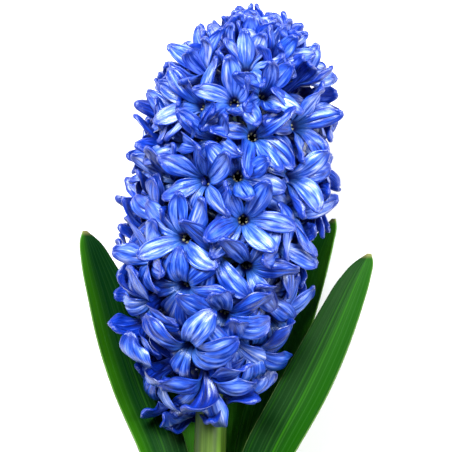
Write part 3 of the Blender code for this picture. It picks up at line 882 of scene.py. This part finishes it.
def petal_colour(n, light, along, back, depth):
    """A petal's blues: deeper behind and at its tip, paler at its foot, with painted shade in its throat and
    inside the head.
    """
    inside = n.math("SUBTRACT", 1.0, back)
    front = n.ramp(light, PETAL_FRONT)
    behind = n.ramp(light, PETAL_BACK)
    colour = n.mix(back, front, behind)
    colour = n.mix(n.math("MULTIPLY", n.range(along, 0.72, 0.92), 0.85), colour, shown(0, 40, 146))
    foot = n.math("MULTIPLY", n.range(along, 0.34, 0.06), inside)
    colour = n.mix(n.math("MULTIPLY", foot, 0.35), colour, shown(70, 136, 206))
    # Painted shade deep in the tube and throat
    throat = n.math("MULTIPLY", n.range(along, 0.06, -0.08), inside)
    colour = n.mix(throat, colour, shown(4, 16, 84))
    # Painted shade: navy between the florets inside the head
    colour = n.mix(n.math("MULTIPLY", depth, 0.8), colour, shown(2, 20, 110))
    stalk = n.math("MULTIPLY", n.range(along, -0.9, -1.7), back)
    return n.mix(n.math("MULTIPLY", stalk, 0.6), colour, shown(40, 70, 90))


def petal_material():
    """Waxy petals with lengthways streaks and fibres, a bluish shine and fine grooves."""
    n = Nodes("petal")
    across, along, back = n.marks("marks")
    chance, rise, depth = n.marks("tints")
    seed = n.math("MULTIPLY", chance, 40.0)
    wide = n.joined(n.math("MULTIPLY", across, 2.4), n.math("MULTIPLY", along, 1.6), seed)
    fine = n.joined(n.math("MULTIPLY", across, 12.0), n.math("MULTIPLY", along, 1.3), seed)
    streak = n.noise(wide, 1.6, 2.0)
    fibre = n.noise(fine, 1.5, 3.0)
    bent = n.math("ADD", across, n.math("MULTIPLY", n.math("SUBTRACT", streak, 0.5), 0.35))
    line = petal_lines(n, along, bent)
    light = petal_light(n, streak, fibre, line, chance, rise, across)
    n.put(n.shader.inputs["Base Color"], petal_colour(n, light, along, back, depth))
    n.put(n.shader.inputs["Roughness"], n.range(fibre, 0.2, 0.8, 0.24, 0.4))
    n.shader.inputs["Specular IOR Level"].default_value = 1.0
    n.shader.inputs["Specular Tint"].default_value = (0.76, 0.87, 1.0, 1.0)
    height = n.math("SUBTRACT", n.math("MULTIPLY", fibre, 0.6), n.math("MULTIPLY", line, 0.6))
    n.bump(height, 0.6, 0.0003)
    return n.material


def leaf_material(name, dark, mid, bright, split, side, fold_highlight_strength):
    """A smooth strap leaf: parallel veins, a thin pale margin, painted shade on one half and painted light on
    the other, a painted highlight along its fold and pale streaks that are partly painted sheen.
    """
    n = Nodes(name)
    across, along, _ = n.marks("marks")
    chance, _, _ = n.marks("tints")
    seed = n.math("MULTIPLY", chance, 30.0)
    fine = n.joined(n.math("MULTIPLY", across, 9.0), n.math("MULTIPLY", along, 0.8), seed)
    wide = n.joined(n.math("MULTIPLY", across, 1.6), n.math("MULTIPLY", along, 1.6), chance)
    streak = n.noise(fine, 1.4, 4.0)
    broad = n.noise(wide, 1.3, 2.0)
    # Painted shade on one half of the channelled leaf and painted light on the other
    half = n.range(n.math("MULTIPLY", across, side), split - 0.35, split + 0.35)
    base = n.mix(half, dark, mid)
    # Bright streaks: partly the leaf's own streaking, partly painted sheen
    colour = n.mix(n.math("MULTIPLY", n.range(streak, 0.5, 0.8), 0.45), base, bright)
    colour = n.mix(n.math("MULTIPLY", n.range(broad, 0.35, 0.7), 0.35), colour, dark)
    wave = n.math("COSINE", n.math("MULTIPLY", across, RIB_COUNT * np.pi))
    vein = n.math("POWER", n.range(wave, 0.5, 1.0), 2.0)
    colour = n.mix(n.math("MULTIPLY", vein, 0.05), colour, shown(90, 150, 80))
    # Painted highlight along the leaf's fold, fading towards its tip
    fold_highlight = n.range(n.math("ABSOLUTE", n.math("SUBTRACT", across, 0.1)), 0.07, 0.0)
    fold_highlight = n.math("MULTIPLY", fold_highlight, n.range(along, 0.95, 0.5))
    colour = n.mix(n.math("MULTIPLY", fold_highlight, fold_highlight_strength), colour, bright)
    margin = n.range(n.math("ABSOLUTE", across), 0.97, 1.0)
    colour = n.mix(n.math("MULTIPLY", margin, 0.35), colour, shown(130, 165, 90))
    foot = n.range(along, 0.3, 0.0)
    colour = n.mix(n.math("MULTIPLY", foot, 0.75), colour, shown(190, 205, 130))
    tip = n.range(along, 0.985, 1.0)
    colour = n.mix(n.math("MULTIPLY", tip, 0.6), colour, shown(150, 140, 90))
    n.put(n.shader.inputs["Base Color"], colour)
    n.put(n.shader.inputs["Roughness"], n.range(streak, 0.3, 0.7, 0.42, 0.55))
    n.shader.inputs["Specular IOR Level"].default_value = 0.15
    n.shader.inputs["Specular Tint"].default_value = (0.5, 1.0, 0.4, 1.0)
    n.bump(n.math("ADD", streak, n.math("MULTIPLY", vein, 0.6)), 0.5, 0.00012)
    return n.material


def stem_material():
    """An olive stem with lengthwise streaks, painted shade on its left and back, a painted highlight strip on
    its front-right, darker inside the head, and a pale wet cut.
    """
    n = Nodes("stem")
    turn, along, cut = n.marks("marks")
    streak = n.noise(n.joined(n.math("MULTIPLY", turn, 26.0), n.math("MULTIPLY", along, 3.0), 0.0), 1.5, 3.0)
    colour = n.ramp(streak, ((0.25, shown(34, 56, 16)), (0.5, shown(52, 82, 8)), (0.75, shown(80, 110, 26))))
    # Painted shade from the stem's front round its left and back, and a painted highlight strip on its
    # front-right
    shade = n.range(turn, 0.26, 0.4)
    colour = n.mix(n.math("MULTIPLY", shade, 0.6), colour, shown(50, 66, 36))
    highlight_strip = n.range(n.math("ABSOLUTE", n.math("SUBTRACT", turn, 0.16)), 0.05, 0.0)
    colour = n.mix(n.math("MULTIPLY", highlight_strip, 0.6), colour, shown(98, 142, 20))
    colour = n.mix(n.range(along, 0.42, 0.58), colour, shown(44, 62, 58))
    colour = n.mix(n.math("MULTIPLY", n.range(along, 0.2, 0.0), 0.5), colour, shown(200, 212, 150))
    pith = n.noise(n.place(), 900.0, 3.0)
    inside = n.ramp(pith, ((0.3, shown(168, 186, 104)), (0.7, shown(222, 228, 176))))
    inside = n.mix(n.range(along, 0.75, 1.0), inside, shown(120, 148, 66))
    colour = n.mix(cut, colour, inside)
    n.put(n.shader.inputs["Base Color"], colour)
    n.put(n.shader.inputs["Roughness"], n.range(streak, 0.3, 0.7, 0.38, 0.5))
    n.bump(streak, 0.4, 0.00015)
    return n.material


def anther_material():
    """Grey to pale yellow anthers, each of its own shade."""
    n = Nodes("anther")
    chance, _, _ = n.marks("tints")
    grain = n.noise(n.place(), 3000.0, 2.0)
    colour = n.ramp(n.math("ADD", n.math("MULTIPLY", chance, 0.5), n.math("MULTIPLY", grain, 0.5)),
                    ((0.2, shown(90, 96, 84)), (0.7, shown(196, 196, 150))))
    n.put(n.shader.inputs["Base Color"], colour)
    n.put(n.shader.inputs["Roughness"], n.range(grain, 0.3, 0.7, 0.6, 0.8))
    return n.material


# ---------------------------------------------------------------------------------------------- stage

# The height on the stem at the picture's middle and the width of the picture there, in mm
VIEW_UP = 153.2
VIEW_WIDTH = 167.2
LENS = 135.0
SENSOR = 36.0
FLOOR_REACH = 3.0


def make_camera():
    """Looks down on the plant, square to its stem."""
    data = bpy.data.cameras.new("camera")
    data.lens = LENS
    data.sensor_width = SENSOR
    camera = bpy.data.objects.new("camera", data)
    bpy.context.scene.collection.objects.link(camera)
    distance = VIEW_WIDTH * LENS / SENSOR
    target = Vector(laid(np.array([0.0, VIEW_UP, 0.0])))
    place = Vector(laid(np.array([0.0, VIEW_UP, distance])))
    back = (place - target).normalized()
    up = Vector((0.0, np.cos(TILT), np.sin(TILT)))
    side = up.cross(back)
    camera.matrix_world = Matrix.Translation(place) @ Matrix((side, up, back)).transposed().to_4x4()
    bpy.context.scene.camera = camera


def make_light(name, place, target, size, power):
    """A square lamp that looks at a target."""
    data = bpy.data.lights.new(name, "AREA")
    data.shape = "SQUARE"
    data.size = size
    data.energy = power
    light = bpy.data.objects.new(name, data)
    bpy.context.scene.collection.objects.link(light)
    light.location = place
    light.rotation_euler = (Vector(target) - Vector(place)).to_track_quat("-Z", "Y").to_euler()


def make_floor():
    mesh = bpy.data.meshes.new("floor")
    corners = [(x * FLOOR_REACH, y * FLOOR_REACH, 0) for x, y in ((-1, -1), (1, -1), (1, 1), (-1, 1))]
    mesh.from_pydata(corners, [], [(0, 1, 2, 3)])
    floor = bpy.data.objects.new("floor", mesh)
    bpy.context.scene.collection.objects.link(floor)
    n = Nodes("floor")
    n.shader.inputs["Base Color"].default_value = (0.93, 0.93, 0.93, 1.0)
    n.shader.inputs["Roughness"].default_value = 0.9
    mesh.materials.append(n.material)


def make_stage():
    """A plain pale floor under soft studio light."""
    make_floor()
    middle = (0.0, 0.03, 0.04)
    make_light("key", (-0.28, 0.38, 0.85), middle, 0.4, 20.0)
    make_light("side", (0.5, 0.1, 0.7), middle, 0.4, 9.0)
    world = bpy.data.worlds.new("studio")
    world.use_nodes = True
    background = world.node_tree.nodes["Background"]
    background.inputs["Color"].default_value = (0.95, 0.97, 1.0, 1.0)
    background.inputs["Strength"].default_value = 0.16
    bpy.context.scene.world = world
    bpy.context.scene.view_settings.view_transform = "Standard"


# ---------------------------------------------------------------------------------------------- the plant

# The pieces that the head is cut into, from its foot to its top
TIERS = 8


def make_head():
    """The florets, stood in their places from the lowest up and then bent round each other."""
    draw = np.random.default_rng(SEED)
    ups, turns, seen = throat_places()
    order = np.argsort(ups)
    florets = [stand(ups[i], turns[i], seen[i], draw) for i in order]
    in_front = [floret for floret, i in zip(florets, order) if seen[i] >= 0]
    sights = [floret.throat + FRONT * far for floret in in_front for far in SIGHT]
    nestle(florets, np.concatenate([green_points(), sights]), draw)
    petal = petal_material()
    anthers = Build()
    for tier, members in enumerate(np.array_split(np.arange(FLORETS), TIERS)):
        build = Build()
        for i in members:
            for one in florets[i].petals:
                add_petal(build, florets[i], one)
            add_tube(build, florets[i])
            add_anthers(anthers, florets[i], draw)
        build.made(f"florets_{tier + 1}", petal, "petals", "flower_head")
    anthers.made("anthers", anther_material(), "petals")


def make_leaves():
    for i, (name, looks) in enumerate(LEAF_LOOKS.items()):
        make_leaf(name, i / len(LEAF_LOOKS), leaf_material(name, *looks))


make_head()
make_leaves()
make_stem(stem_material())
make_camera()
make_stage()
